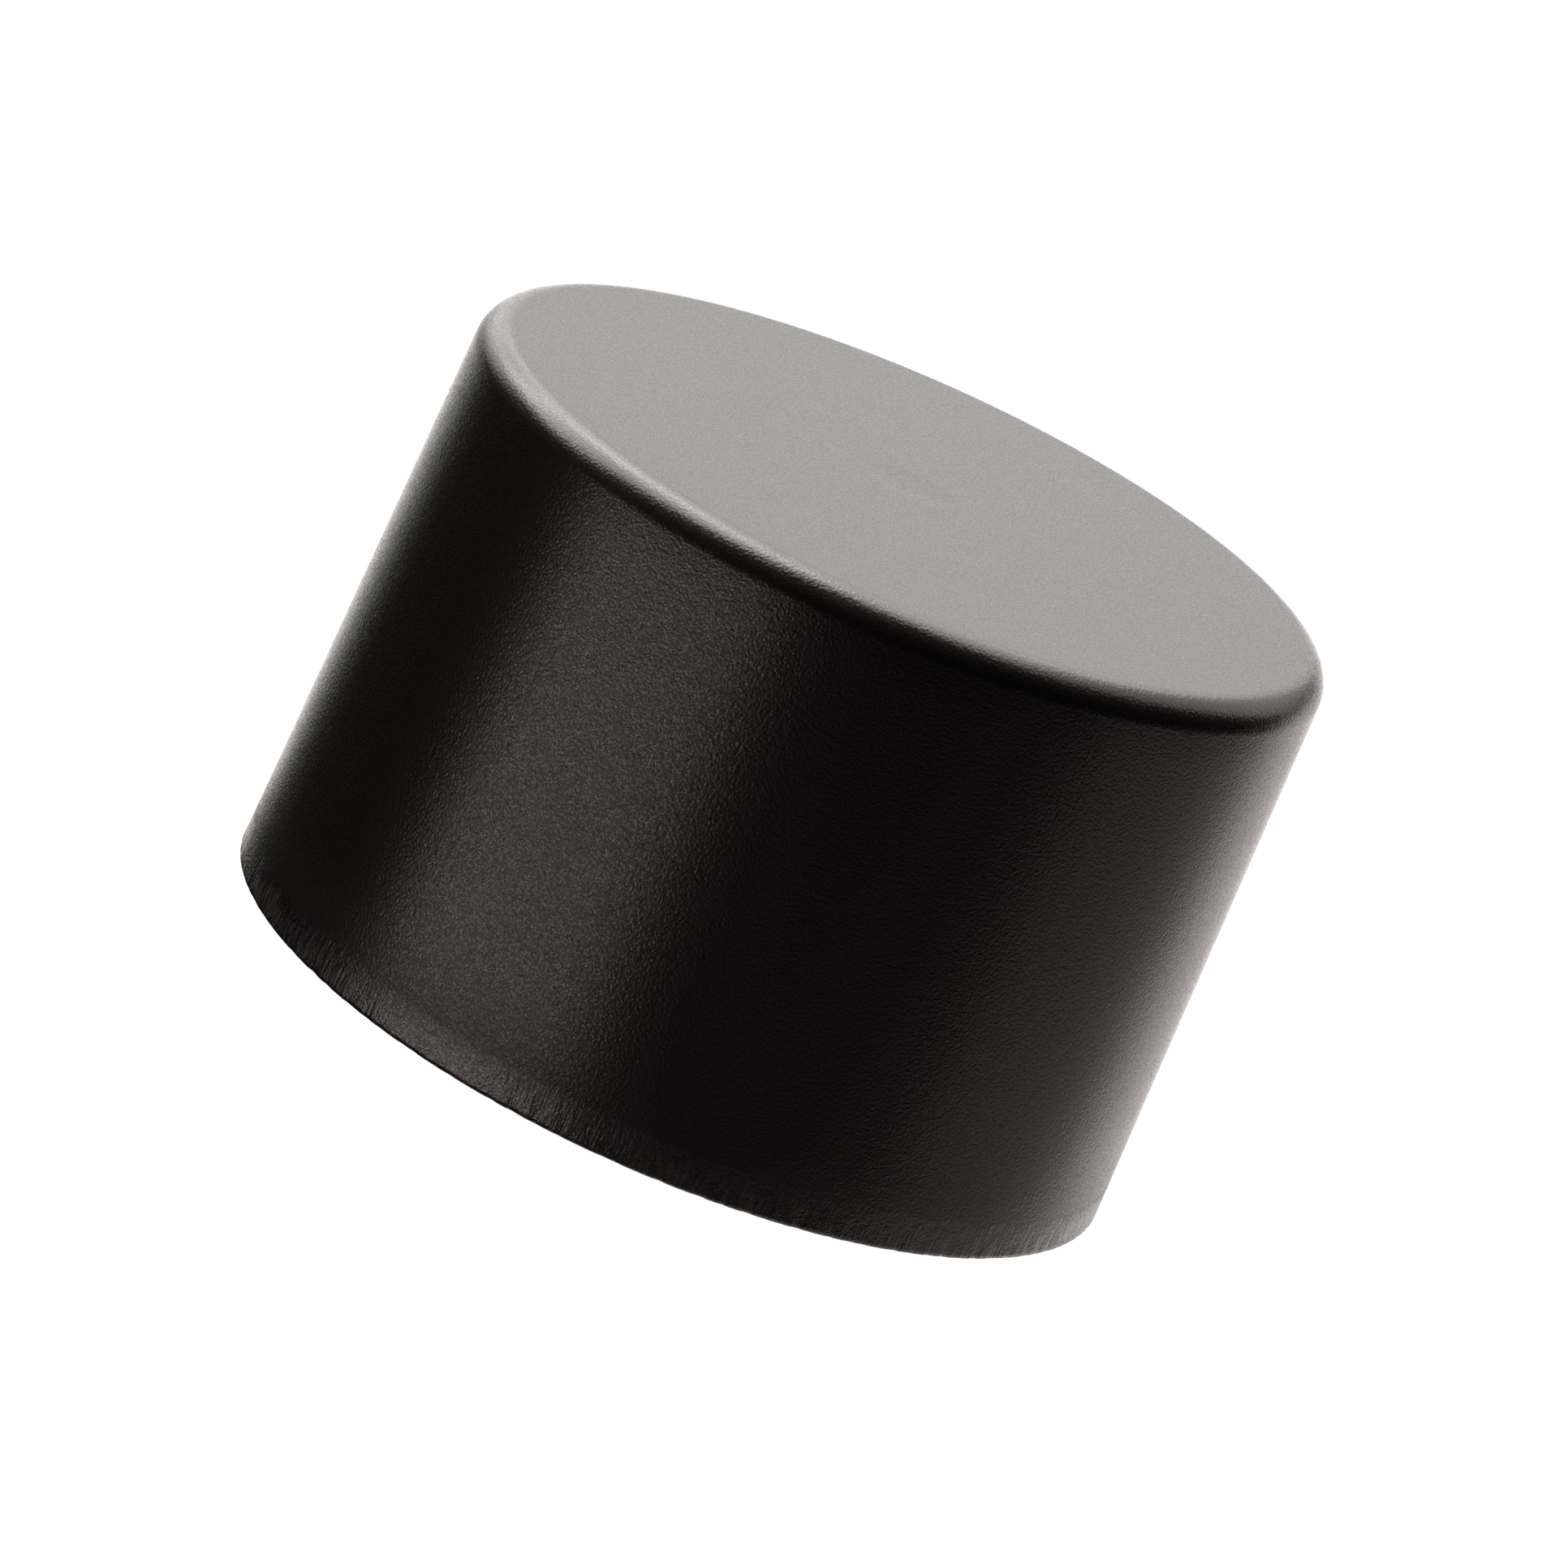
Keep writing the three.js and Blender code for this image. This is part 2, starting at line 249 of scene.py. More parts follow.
def bridge(bm, low, high, segments):
    """Faces between two rings of a lathe, either of which may be a single point on the axis."""
    for s in range(segments):
        t = (s + 1) % segments
        corners = [low[s % len(low)], low[t % len(low)], high[t % len(high)], high[s % len(high)]]
        unique = list(dict.fromkeys(corners))
        if len(unique) > 2:
            bm.faces.new(unique)


def added(name, mesh, sharp=35):
    """Puts a mesh in the scene as an object, smooth but for its edges sharper than so many degrees."""
    piece = bpy.data.objects.new(name, mesh)
    bpy.context.scene.collection.objects.link(piece)
    mesh.shade_smooth()
    mesh.set_sharp_from_angle(angle=math.radians(sharp))
    return piece


def slab(name, from_radius, to_radius, thickness, foot, top, angle):
    """A thin upright block that reaches out from the axis, such as a rib."""
    mesh = bpy.data.meshes.new(name)
    bm = bmesh.new()
    bmesh.ops.create_cube(bm, size=1)
    size = Vector((to_radius - from_radius, thickness, top - foot))
    bmesh.ops.scale(bm, vec=size, verts=bm.verts)
    bmesh.ops.translate(bm, vec=((from_radius + to_radius) / 2, 0, (foot + top) / 2), verts=bm.verts)
    bmesh.ops.rotate(bm, matrix=Matrix.Rotation(angle, 3, "Z"), verts=bm.verts)
    bm.to_mesh(mesh)
    bm.free()
    return added(name, mesh)


def combine(piece, others, operation, sharp=35):
    """Joins other solids to a piece, or cuts them from it, and deletes them."""
    for other in others:
        step = piece.modifiers.new("combine", "BOOLEAN")
        step.operation = operation
        step.object = other
        step.solver = "EXACT"
    result = bpy.data.meshes.new_from_object(piece.evaluated_get(bpy.context.evaluated_depsgraph_get()))
    piece.modifiers.clear()
    piece.data = result
    for other in others:
        bpy.data.objects.remove(other)
    result.shade_smooth()
    result.set_sharp_from_angle(angle=math.radians(sharp))
    return piece


def uneven(radius, z, angle, across, along):
    """Smooth seeded noise on a turned surface, about -1 to 1, with features of these sizes in metres."""
    place = Vector((radius * math.cos(angle) / across, radius * math.sin(angle) / across, z / along))
    return noise.noise(place)


# ------------------------------------------------------------------ material helpers


class Nodes:
    """A material's node tree, with short ways to add and link what these materials use."""

    def __init__(self, name):
        self.material = bpy.data.materials.new(name)
        self.material.use_nodes = True
        self.tree = self.material.node_tree
        self.shader = self.tree.nodes["Principled BSDF"]
        self.place = self.tree.nodes.new("ShaderNodeTexCoord").outputs["Object"]

    def link(self, source, target):
        """Joins an output socket to an input socket."""
        self.tree.links.new(source, target)

    def fixed(self, **values):
        """Sets plain values on the shader's sockets, such as metallic=1.0."""
        for key, value in values.items():
            name = key.replace("_", " ").title().replace("Ior", "IOR")
            self.shader.inputs[name].default_value = value

    def noise(self, size, detail, stretch=(1, 1, 1)):
        """Noise whose features are about this size, in metres, and longer along a stretched axis."""
        scaled = self.tree.nodes.new("ShaderNodeMapping")
        scaled.inputs["Scale"].default_value = [1 / s for s in stretch]
        self.link(self.place, scaled.inputs["Vector"])
        texture = self.tree.nodes.new("ShaderNodeTexNoise")
        texture.inputs["Scale"].default_value = 0.5 / size
        texture.inputs["Detail"].default_value = detail
        self.link(scaled.outputs["Vector"], texture.inputs["Vector"])
        return texture.outputs["Fac"]

    def cells(self, size):
        """The distance from the middle of each of a lot of cells of about this size, in metres."""
        texture = self.tree.nodes.new("ShaderNodeTexVoronoi")
        texture.inputs["Scale"].default_value = 1 / size
        self.link(self.place, texture.inputs["Vector"])
        return texture.outputs["Distance"]

    def height(self):
        """How high up the button the point is, in metres."""
        axes = self.tree.nodes.new("ShaderNodeSeparateXYZ")
        self.link(self.place, axes.inputs["Vector"])
        return axes.outputs["Z"]

    def spread(self, value, low, high, from_low=0.3, from_high=0.7):
        """Maps a value's usual range onto another."""
        node = self.tree.nodes.new("ShaderNodeMapRange")
        node.inputs["From Min"].default_value = from_low
        node.inputs["From Max"].default_value = from_high
        node.inputs["To Min"].default_value = low
        node.inputs["To Max"].default_value = high
        self.link(value, node.inputs["Value"])
        return node.outputs["Result"]

    def math(self, operation, a, b):
        """One arithmetic step on two values, each a socket or a plain number."""
        node = self.tree.nodes.new("ShaderNodeMath")
        node.operation = operation
        for socket, value in zip(node.inputs, (a, b)):
            if isinstance(value, (int, float)):
                socket.default_value = value
            else:
                self.link(value, socket)
        return node.outputs["Value"]

    def colour(self, value, first, second, from_low=0.3, from_high=0.7):
        """The base colour goes from one to the other as the value goes up."""
        ramp = self.tree.nodes.new("ShaderNodeValToRGB")
        stops = zip(ramp.color_ramp.elements, (from_low, from_high), (first, second))
        for element, position, colour in stops:
            element.position = position
            element.color = (*colour, 1)
        self.link(value, ramp.inputs["Fac"])
        self.link(ramp.outputs["Color"], self.shader.inputs["Base Color"])

    def roughness(self, value):
        """The shader's roughness follows the value."""
        self.link(value, self.shader.inputs["Roughness"])

    def relief(self, *layers):
        """Bump from (height, depth) layers, with the depths in metres."""
        normal = None
        for height, depth in layers:
            node = self.tree.nodes.new("ShaderNodeBump")
            node.inputs["Distance"].default_value = depth
            self.link(height, node.inputs["Height"])
            if normal:
                self.link(normal, node.inputs["Normal"])
            normal = node.outputs["Normal"]
        self.link(normal, self.shader.inputs["Normal"])


# ------------------------------------------------------------------ materials


def black_abs():
    """Black ABS from a spark-eroded mould: a fine worm-like grain with paler, glossier points. It is
    scuffed a little duller near the foot, where the button is slid and stacked."""
    m = Nodes("black_abs")
    speckle = m.noise(SPECKLE, detail=1)
    m.colour(speckle, (0.001, 0.0007, 0.0006), (0.014, 0.0112, 0.0104))
    scuffed = m.spread(m.height(), SCUFF, 0, from_low=SHELL_FOOT, from_high=SHELL_FOOT + SCUFF_HEIGHT)
    m.roughness(m.math("ADD", m.spread(speckle, BETWEEN_ROUGHNESS, POINT_ROUGHNESS), scuffed))
    m.relief((m.noise(GRAIN, detail=1), GRAIN_DEPTH))
    m.fixed(ior=1.5)
    return m.material


def grey_abs():
    """Dark grey ABS, plain moulded, with faint flow marks."""
    m = Nodes("grey_abs")
    m.colour(m.noise(6 * MM, detail=4), (0.028, 0.028, 0.03), (0.042, 0.042, 0.045))
    m.roughness(m.spread(m.noise(3 * MM, detail=4), 0.38, 0.5))
    m.relief((m.noise(0.3 * MM, detail=2), 0.008 * MM))
    return m.material


def black_felt():
    """Black pressed felt: upright fibres on the die-cut edge, duller where they lap over the shell. Their
    colour
    has painted light and shade: palest at the foot, where light from below falls, and darker up the lap,
    where shade falls. The flat underside is matted unevenly."""
    m = Nodes("black_felt")
    fibres = m.noise(0.07 * MM, detail=2, stretch=(1, 1, 8))
    fuzz = m.noise(SPECKLE, detail=1)
    matting = m.noise(1 * MM, detail=5)
    lapped = m.spread(m.height(), 0, 1, from_low=DULL_AND_SHADED_FROM, from_high=DULL_AND_SHADED_FULL)
    # painted light and shade: the fibres' colour is full at the foot and falls to 0.6 of it up the lap
    # over the shell's foot
    painted_foot_light_lap_shade = m.spread(lapped, 1, 0.6, from_low=0, from_high=1)
    painted_light_and_matting = m.math("MULTIPLY", painted_foot_light_lap_shade, m.spread(matting, 0.82, 1.18))
    shade = m.math("MULTIPLY", fibres, painted_light_and_matting)
    m.colour(shade, (0.004, 0.0035, 0.0033), (0.055, 0.0505, 0.049), from_low=0.4, from_high=0.72)
    gloss = m.spread(fuzz, BETWEEN_ROUGHNESS, POINT_ROUGHNESS)
    m.roughness(m.math("ADD", gloss, m.math("MULTIPLY", lapped, SCUFF)))
    m.relief((matting, 0.08 * MM), (m.noise(GRAIN, detail=1), GRAIN_DEPTH), (fibres, 0.02 * MM))
    m.fixed(ior=1.5, specular_ior_level=0.72)
    return m.material


def zinc_plated_steel(name, dark, light, dull):
    """Zinc-plated steel, with a spangle, dull patches and fine pits."""
    m = Nodes(name)
    m.colour(m.noise(2.5 * MM, detail=5), dark, light)
    m.roughness(m.spread(m.noise(1.2 * MM, detail=5), dull - 0.1, dull + 0.1))
    m.fixed(metallic=1.0)
    m.relief((m.noise(0.5 * MM, detail=4), 0.01 * MM), (m.cells(0.9 * MM), 0.006 * MM))
    return m.material


def turned_brass():
    """Yellow brass with fine turning marks round it."""
    m = Nodes("turned_brass")
    m.colour(m.noise(1 * MM, detail=4), (0.6, 0.41, 0.15), (0.78, 0.58, 0.26))
    m.roughness(m.spread(m.noise(0.5 * MM, detail=4), 0.2, 0.36))
    m.fixed(metallic=1.0)
    m.relief((m.noise(0.05 * MM, detail=2, stretch=(20, 20, 1)), 0.002 * MM))
    return m.material


def open_foam():
    """Charcoal foam: open cells between struts, with painted shade that makes the cells' pits dark and
    leaves the struts paler.
    """
    m = Nodes("open_foam")
    pores = m.cells(0.5 * MM)
    # painted shade: the colour darkens towards each cell's middle, where the relief sinks into a pit
    m.colour(pores, (0.018, 0.018, 0.02), (0.1, 0.1, 0.105), from_low=0.15, from_high=0.65)
    m.roughness(m.spread(pores, 0.98, 0.82, from_low=0.15, from_high=0.65))
    m.relief((m.noise(1.2 * MM, detail=3), 0.15 * MM), (pores, 0.25 * MM))
    return m.material


def amber_tape():
    """Double-sided tape: an amber adhesive film with small trapped bubbles."""
    m = Nodes("amber_tape")
    m.colour(m.noise(3 * MM, detail=4), (0.5, 0.44, 0.32), (0.68, 0.62, 0.5))
    m.roughness(m.spread(m.noise(1 * MM, detail=3), 0.3, 0.5))
    m.relief((m.cells(1.3 * MM), 0.02 * MM), (m.noise(0.3 * MM, detail=3), 0.01 * MM))
    return m.material


# ------------------------------------------------------------------ pieces


def shell():
    """The drum: top face and wall in one, with its boss, fins and ribs inside."""
    seat = PLATE_RADIUS + SLIDE_GAP
    outline = filleted([
        (0, SHELL_TOP - SINK_DEPTH),
        (SINK_RADIUS / 2, SHELL_TOP - SINK_DEPTH * 0.75, SINK_RADIUS / 4),
        (SINK_RADIUS, SHELL_TOP, SINK_RADIUS * 0.75),
        (outer_radius(SHELL_TOP), SHELL_TOP, RIM_RADIUS),
        (SHELL_FOOT_RADIUS, SHELL_FOOT, 0.05 * MM),
        (seat, SHELL_FOOT, 0.15 * MM),
        (seat, PLATE_TOP),
        (outer_radius(PLATE_TOP) - WALL, PLATE_TOP, 0.2 * MM),
        (outer_radius(CEILING) - WALL, CEILING, INNER_RADIUS),
        (0, CEILING),
    ], steps=14)
    body = lathe("shell", spaced(outline, 2 * MM), BODY_SEGMENTS)
    rooted = (CEILING + SHELL_TOP) / 2
    boss_foot = HUB_TOP + FIT_GAP
    boss = lathe("boss", filleted([
        (0, boss_foot),
        (BOSS_RADIUS, boss_foot, 0.2 * MM),
        (BOSS_RADIUS, rooted),
        (0, rooted),
    ]), FASTENER_SEGMENTS)
    fin_reach = BALLAST_BORE - SLIDE_GAP
    fin_foot = HUB_TOP + SLIDE_GAP
    fins = [
        slab("fin", 0, fin_reach, FIN_THICKNESS, fin_foot, rooted, TURN * (i + 0.5) / FIN_COUNT)
        for i in range(FIN_COUNT)
    ]
    rib_reach = BALLAST_RADIUS + SLIDE_GAP
    rib_root = outer_radius(rooted) - WALL / 2
    rib_foot = PLATE_TOP + RIB_CLEARANCE
    ribs = [
        slab("rib", rib_reach, rib_root, RIB_THICKNESS, rib_foot, rooted, TURN * i / RIB_COUNT)
        for i in range(RIB_COUNT)
    ]
    combine(body, [boss, *fins, *ribs], "UNION")
    seat_radius = INSERT_RADIUS + 2 * FIT_GAP
    seat_top = INSERT_TOP + FIT_GAP
    core_top = CEILING - CORE_CAP
    below = boss_foot - 1 * MM
    hole = lathe("hole", filleted([
        (0, below),
        (seat_radius, below),
        (seat_radius, seat_top),
        (CORE_RADIUS, seat_top),
        (CORE_RADIUS, core_top),
        (0, core_top),
    ]), FASTENER_SEGMENTS)
    return combine(body, [hole], "DIFFERENCE")


def felt_pad():
    """The pad, whose die-cut edge is ridged with fibres that lap a little way up over the shell's foot."""
    lap_top = FELT_TOP + NAP_HEIGHT
    fall_steps = NAP_STEPS // 2
    rising = [EDGE_BEVEL + (lap_top - EDGE_BEVEL) * k / NAP_STEPS for k in range(NAP_STEPS + 1)]
    falling = [FELT_TOP + NAP_HEIGHT * k / fall_steps for k in range(fall_steps, 0, -1)]
    outline = [Vector((r, 0)) for r in (0, FOOT_RADIUS - FLAT_MARGIN, FOOT_RADIUS - EDGE_BEVEL)]
    outline += [Vector((outer_radius(z) + NAP_THICKNESS, z)) for z in rising]
    outline += [Vector((outer_radius(z), z)) for z in falling]
    outline += [Vector((r, FELT_TOP)) for r in (SHELL_FOOT_RADIUS, SHELL_FOOT_RADIUS - FLAT_MARGIN, 0)]

    def fibres(radius, z, angle):
        on_a_face = radius < FOOT_RADIUS - 2 * EDGE_BEVEL
        if on_a_face:
            return radius, z
        tuft = uneven(FOOT_RADIUS, 0, angle, TUFT_WIDTH, 1)
        ragged = max(0, tuft) * RAGGED_DEPTH * max(0, 1 - z / FELT_TOP)
        on_the_lower_edge = z < EDGE_BEVEL / 2
        if on_the_lower_edge:
            return radius - ragged, ragged
        fibre = uneven(FOOT_RADIUS, 1, angle, FIBRE_WIDTH, 1)
        share = USUAL_FIBRE + FIBRE_SPREAD * fibre + TUFT_SPREAD * tuft
        length = NAP_HEIGHT * max(SHORTEST_FIBRE, share)
        behind_the_fibres = radius < outer_radius(z) + NAP_THICKNESS / 2
        if behind_the_fibres:
            height = FELT_TOP + (z - FELT_TOP) * length / NAP_HEIGHT
            return outer_radius(max(height, SHELL_FOOT)) + NAP_TIP / 2, height
        height = z * (FELT_TOP + length) / lap_top
        ridge = uneven(FOOT_RADIUS, z, angle, FIBRE_WIDTH, FIBRE_LENGTH)
        cover = NAP_THICKNESS * (1 + ridge) * (1 - z / lap_top) + NAP_TIP
        return outer_radius(height) + cover - ragged, height

    pad = lathe("felt_pad", outline, FELT_SEGMENTS, shape=fibres, sharp=70)
    return pad


def pad_adhesive():
    """The double-sided tape between the pad and the plate, with a slightly uneven die-cut edge."""
    foot, top = (corner.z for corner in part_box("pad_adhesive"))
    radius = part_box("pad_adhesive")[1].x
    outline = filleted([(0, foot), (radius, foot, 0.05 * MM), (radius, top, 0.05 * MM), (0, top)])

    def die_cut(r, z, angle):
        if r <= radius / 2:
            return r, z
        return r - abs(uneven(r, z, angle, 0.6 * MM, 1 * MM)) * 0.05 * MM, z

    return lathe("pad_adhesive", spaced(outline, 4 * MM), SHEET_SEGMENTS, shape=die_cut)


def base_plate():
    """The disc that closes the shell, with a hub for the screw's head and a ring under the foam."""
    soft = PLATE_FILLET
    floor_z, stand_z = PLATE_TOP - FIT_GAP, STAND_TOP - FIT_GAP
    web_foot = WASHER_TOP + FIT_GAP
    outline = filleted([
        (COUNTERBORE_RADIUS, PLATE_FOOT, soft),
        (PLATE_RADIUS, PLATE_FOOT, soft),
        (PLATE_RADIUS, floor_z, soft),
        (STAND_OUTER, floor_z, soft),
        (STAND_OUTER, stand_z, soft),
        (STAND_INNER, stand_z, soft),
        (STAND_INNER, floor_z, soft),
        (HUB_RADIUS, floor_z, soft),
        (HUB_RADIUS, HUB_TOP, soft),
        (SCREW_CLEARANCE_RADIUS, HUB_TOP, 0.1 * MM),
        (SCREW_CLEARANCE_RADIUS, web_foot, 0.1 * MM),
        (COUNTERBORE_RADIUS, web_foot, 0.1 * MM),
    ], closed=True)
    return lathe("base_plate", spaced(outline, 1 * MM, closed=True), PLATE_SEGMENTS, closed=True)


def threaded(crest, foot, top):
    """A lathe shape that cuts the M3 thread into an outline's upright stretch at the crest radius."""

    def shape(radius, z, angle):
        if abs(radius - crest) > NEAR or not foot < z < top:
            return radius, z
        phase = (z / THREAD_PITCH - angle / TURN) % 1
        ridge = min(1, max(0, THREAD_APEX - abs(2 * phase - 1) * THREAD_FLANK))
        fade = min(1, (z - foot) / THREAD_PITCH, (top - z) / THREAD_PITCH)
        return radius - THREAD_DEPTH * (1 - ridge) * fade, z

    return shape


def base_screw():
    """An M3 pan-head screw with a cross recess. It goes in from below, so the head is at the bottom."""
    seat = WASHER_FOOT - FIT_GAP
    outline = filleted([
        (0, HEAD_FOOT),
        (HEAD_RADIUS * HEAD_FLAT, HEAD_FOOT, 1 * MM),
        (HEAD_RADIUS * HEAD_SHOULDER, HEAD_FOOT + HEAD_DOME * 0.35, 0.6 * MM),
        (HEAD_RADIUS, HEAD_FOOT + HEAD_DOME, 0.3 * MM),
        (HEAD_RADIUS, seat, 0.12 * MM),
        (SCREW_RADIUS, seat),
        (SCREW_RADIUS, SCREW_TIP - TIP_CHAMFER),
        (SCREW_RADIUS - TIP_CHAMFER, SCREW_TIP),
        (0, SCREW_TIP),
    ])
    thread = threaded(SCREW_RADIUS, seat + 0.3 * MM, SCREW_TIP)
    outline = spaced(outline, THREAD_PITCH / THREAD_STEPS)
    screw = lathe("base_screw", outline, FASTENER_SEGMENTS, shape=thread, sharp=50)
    return combine(screw, [cross_recess()], "DIFFERENCE", sharp=50)


def cross_recess():
    """The tapered cross that the driver fits, as a solid to cut away. Its outline's radii are shares of
    the cross's full reach."""

    def cross(radius, z, angle):
        across = (angle + TURN / 8) % (TURN / 4) - TURN / 8
        along, side = math.cos(across), abs(math.sin(across))
        arm = min(DRIVE_LENGTH / 2 / along, DRIVE_WIDTH / 2 / max(side, NEAR))
        return arm * radius, z

    outline = [
        Vector((0, HEAD_FOOT - 0.5 * MM)),
        Vector((1.1, HEAD_FOOT - 0.5 * MM)),
        Vector((0.6, HEAD_FOOT + DRIVE_DEPTH)),
        Vector((0, HEAD_FOOT + DRIVE_DEPTH + 0.15 * MM)),
    ]
    return lathe("cross_recess", outline, WASHER_SEGMENTS, shape=cross)


def screw_washer():
    """A stamped flat washer, rounded where the punch entered and nearly sharp where it left."""
    outline = filleted([
        (WASHER_BORE, WASHER_FOOT, 0.04 * MM),
        (WASHER_RADIUS, WASHER_FOOT, 0.15 * MM),
        (WASHER_RADIUS, WASHER_TOP, 0.04 * MM),
        (WASHER_BORE, WASHER_TOP, 0.1 * MM),
    ], closed=True)
    return lathe("screw_washer", spaced(outline, 0.4 * MM, closed=True), WASHER_SEGMENTS, closed=True)


def brass_insert():
    """The boss's threaded insert, with two diamond-knurled bands and a plain waist between them."""
    bore = SCREW_RADIUS + 2 * FIT_GAP
    edge = INSERT_EDGE
    middle = (INSERT_FOOT + INSERT_TOP) / 2
    waist = INSERT_RADIUS - 2 * KNURL_DEPTH
    outline = filleted([
        (bore + edge / 2, INSERT_FOOT),
        (INSERT_RADIUS - edge, INSERT_FOOT),
        (INSERT_RADIUS, INSERT_FOOT + edge),
        (INSERT_RADIUS, middle - KNURL_GROOVE / 2),
        (waist, middle - KNURL_GROOVE / 3),
        (waist, middle + KNURL_GROOVE / 3),
        (INSERT_RADIUS, middle + KNURL_GROOVE / 2),
        (INSERT_RADIUS, INSERT_TOP - edge),
        (INSERT_RADIUS - edge, INSERT_TOP),
        (bore + edge / 2, INSERT_TOP),
        (bore, INSERT_TOP - edge / 2),
        (bore, INSERT_FOOT + edge / 2),
    ], closed=True)
    thread = threaded(bore, INSERT_FOOT, INSERT_TOP)

    def shape(radius, z, angle):
        if radius < INSERT_RADIUS - NEAR:
            return thread(radius, z, angle)
        around = KNURL_COUNT * angle
        climb = z / (TURN * INSERT_RADIUS / KNURL_COUNT) * TURN
        groove = max(abs(math.sin((around + climb) / 2)), abs(math.sin((around - climb) / 2)))
        return radius - KNURL_DEPTH * groove ** 4, z

    outline = spaced(outline, THREAD_PITCH / THREAD_STEPS, closed=True)
    segments = KNURL_COUNT * KNURL_STEPS
    return lathe("brass_insert", outline, segments, closed=True, shape=shape, sharp=60)


def ballast_ring(number):
    """A stamped washer: one face has the punch's rolled edge, and half the wall shows the rough break.
    Every other washer lies upside down."""
    foot, top = (corner.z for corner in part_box(f"ballast_ring_{number}"))
    upside_down = number % 2 == 0
    edges = (ROLLED_EDGE, CRISP_EDGE) if upside_down else (CRISP_EDGE, ROLLED_EDGE)
    foot_edge, top_edge = edges
    outline = filleted([
        (BALLAST_BORE, foot, foot_edge),
        (BALLAST_RADIUS, foot, foot_edge),
        (BALLAST_RADIUS, top, top_edge),
        (BALLAST_BORE, top, top_edge),
    ], closed=True)
    middle = (foot + top) / 2

    def broken(radius, z, angle):
        in_break = z > middle if upside_down else z < middle
        roughness = abs(uneven(radius, z, angle + number, 0.25 * MM, 0.5 * MM))
        torn = BREAK_DEPTH * roughness if in_break else 0
        if radius > BALLAST_RADIUS - NEAR:
            return radius - torn, z
        if radius < BALLAST_BORE + NEAR:
            return radius + torn, z
        return radius, z

    outline = spaced(outline, 0.25 * MM, closed=True)
    return lathe(f"ballast_ring_{number}", outline, BODY_SEGMENTS, closed=True, shape=broken)


def foam_ring(node):
    """A die-cut foam ring, with softened edges and a surface torn open by its cells."""
    foot, top = (corner.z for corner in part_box(node))
    outline = filleted([
        (FOAM_BORE, foot, FOAM_EDGE),
        (FOAM_RADIUS, foot, FOAM_EDGE),
        (FOAM_RADIUS, top, FOAM_EDGE),
        (FOAM_BORE, top, FOAM_EDGE),
    ], closed=True)
    core = Vector(((FOAM_BORE + FOAM_RADIUS) / 2, (foot + top) / 2))

    def torn(radius, z, angle):
        here = Vector((radius, z))
        pit = FOAM_CRUMB * abs(uneven(radius, z, angle, FOAM_CELL, FOAM_CELL))
        on_a_face = abs(z - core.y) > (top - foot) / 2 - FOAM_EDGE
        inwards = Vector((0, core.y - z)) if on_a_face else core - here
        return here + inwards.normalized() * pit

    outline = spaced(outline, 0.3 * MM, closed=True)
    ring = lathe(node, outline, SHEET_SEGMENTS, closed=True, shape=torn, sharp=80)
    return ring


# ------------------------------------------------------------------ assembly

FINISHES = {
    "shell_plastic": black_abs(),
    "plate_plastic": grey_abs(),
    "felt": black_felt(),
    "adhesive": amber_tape(),
    "foam": open_foam(),
    "ballast_steel": zinc_plated_steel("dull_zinc_steel", (0.4, 0.41, 0.42), (0.6, 0.61, 0.62), 0.45),
    "screw_steel": zinc_plated_steel("bright_zinc_steel", (0.55, 0.55, 0.54), (0.68, 0.68, 0.67), 0.28),
    "insert_brass": turned_brass(),
}
SLOT_OF = {entry["node"]: entry["material_slot"] for entry in frame["record"]["subparts"]}


def fit(node, piece):
    """Names a piece, finishes it, and puts it in its CAD node's stead."""
    piece.name = f"{node}_fine"
    piece.data.materials.clear()
    piece.data.materials.append(FINISHES[SLOT_OF[node]])
    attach(piece, "root")
    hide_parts(node)


for make in (shell, felt_pad, pad_adhesive, base_plate, base_screw, screw_washer, brass_insert):
    fit(make.__name__, make())
for ring_number in range(1, 7):
    fit(f"ballast_ring_{ring_number}", ballast_ring(ring_number))
for foam_node in ("lower_foam_ring", "upper_foam_ring"):
    fit(foam_node, foam_ring(foam_node))

# ------------------------------------------------------------------ camera

ELEVATION = math.radians(16.83)
ROLL = math.radians(24.27)             # the camera leans anticlockwise, so the button leans clockwise
DIAMETER = 2 * FOOT_RADIUS
DISTANCE = 9.94 * DIAMETER
FRAME_WIDTH = 1.668 * DIAMETER         # how much the frame takes in across, at the button
RIGHT_OF_CENTRE = 0.0076 * DIAMETER
ABOVE_CENTRE = 0.0307 * DIAMETER
MIDDLE = Vector((0, 0, SHELL_TOP / 2))


def photograph_camera():
    """A long lens at the photograph's viewing angle, leaning so that the button looks tilted."""
    back = Vector((0, -math.cos(ELEVATION), math.sin(ELEVATION)))
    turn = (-back).to_track_quat("-Z", "Y") @ Quaternion((0, 0, 1), ROLL)
    aim = MIDDLE - turn @ Vector((RIGHT_OF_CENTRE, ABOVE_CENTRE, 0))
    data = bpy.data.cameras.new("camera")
    data.sensor_width = 36
    data.lens = data.sensor_width * DISTANCE / FRAME_WIDTH
    data.clip_start = 0.01
    data.clip_end = 20
    camera = bpy.data.objects.new("camera", data)
    camera.rotation_mode = "QUATERNION"
    camera.rotation_quaternion = turn
    camera.location = aim + back * DISTANCE
    bpy.context.scene.collection.objects.link(camera)
    bpy.context.scene.camera = camera


# ------------------------------------------------------------------ studio

LIGHT_DISTANCE = 1.0
STUDIO_RADIUS = 2.8
STUDIO_HEIGHT = 2.8
STUDIO_FILLET = 0.8


